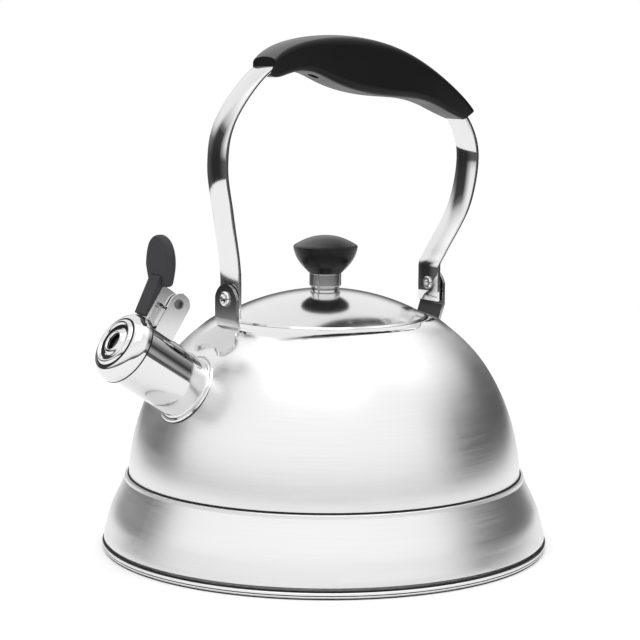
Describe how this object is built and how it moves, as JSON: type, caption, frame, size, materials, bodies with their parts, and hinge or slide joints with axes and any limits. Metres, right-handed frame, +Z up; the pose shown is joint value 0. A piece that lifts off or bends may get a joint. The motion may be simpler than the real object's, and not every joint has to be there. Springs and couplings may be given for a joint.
{
  "type": "stovetop kettle",
  "caption": "Stovetop whistling kettle with a domed steel body, lift-off lid with a round knob, folding strap handle with a black grip, and a sprung whistle cap opened by a thumb lever.",
  "frame": {"origin": "centre of the base underside, on the kettle's own axis, where it stands on the hob", "axes": "+Z up, +X towards the spout, +Y to the kettle's left side when looking along the spout; the handle folds towards either Y side"},
  "size_m": [0.2362, 0.22, 0.2505],
  "materials": {
    "brushed_shell": "fine satin brushing, turning polished on the shoulder round the lid",
    "polished_steel": "mirror-polished stainless steel",
    "plain_steel": "plain bright sheet stainless steel",
    "fastener_steel": "bright formed steel",
    "spring_steel": "drawn spring wire",
    "core_aluminium": "plain rolled plate",
    "soft_black": "soft-touch black, very fine grain",
    "knob_black": "satin black moulding",
    "insert_brass": "turned brass"
  },
  "bodies": {
    "body": {"upper_dome": "brushed_shell", "lower_skirt": "brushed_shell", "heat_disc": "core_aluminium", "base_cap": "brushed_shell", "lid_collar": "polished_steel", "spout_tube": "polished_steel", "spout_flange": "polished_steel", "front_bracket": "polished_steel", "rear_bracket": "polished_steel", "front_rivet": "fastener_steel", "rear_rivet": "fastener_steel", "front_washer": "plain_steel", "rear_washer": "plain_steel", "hinge_bracket": "plain_steel", "hinge_pin": "fastener_steel"},
    "handle": {"handle_strap": "polished_steel", "grip": "soft_black", "grip_cover": "soft_black", "grip_screws": "fastener_steel"},
    "lid": {"lid_dome": "polished_steel", "lid_skirt": "plain_steel", "knob_washer": "polished_steel", "knob_ferrule": "polished_steel", "knob": "knob_black", "knob_insert": "insert_brass", "lid_screw_washer": "plain_steel", "knob_screw": "fastener_steel"},
    "spout_cap": {"whistle_cap": "polished_steel", "whistle_plate": "plain_steel", "whistle_cup": "plain_steel", "lever_plate": "plain_steel", "thumb_lever": "soft_black", "return_spring": "spring_steel"}
  },
  "joints": [
    {"name": "handle_fold", "type": "hinge", "parent": "body", "child": "handle", "pos_m": [0, 0, 0.126], "axis": [1, 0, 0], "range_deg": [-94, 94]},
    {"name": "lid_lift", "type": "slide", "parent": "body", "child": "lid", "axis": [0, 0, 1], "range_m": [0, 0.05]},
    {"name": "cap_flip", "type": "hinge", "parent": "body", "child": "spout_cap", "pos_m": [0.08854, 0, 0.1262], "axis": [0, -1, 0], "range_deg": [0, 55], "stiffness_Nm_per_rad": 0.06, "springref_deg": -28.65, "deforming": ["return_spring"]}
  ]
}
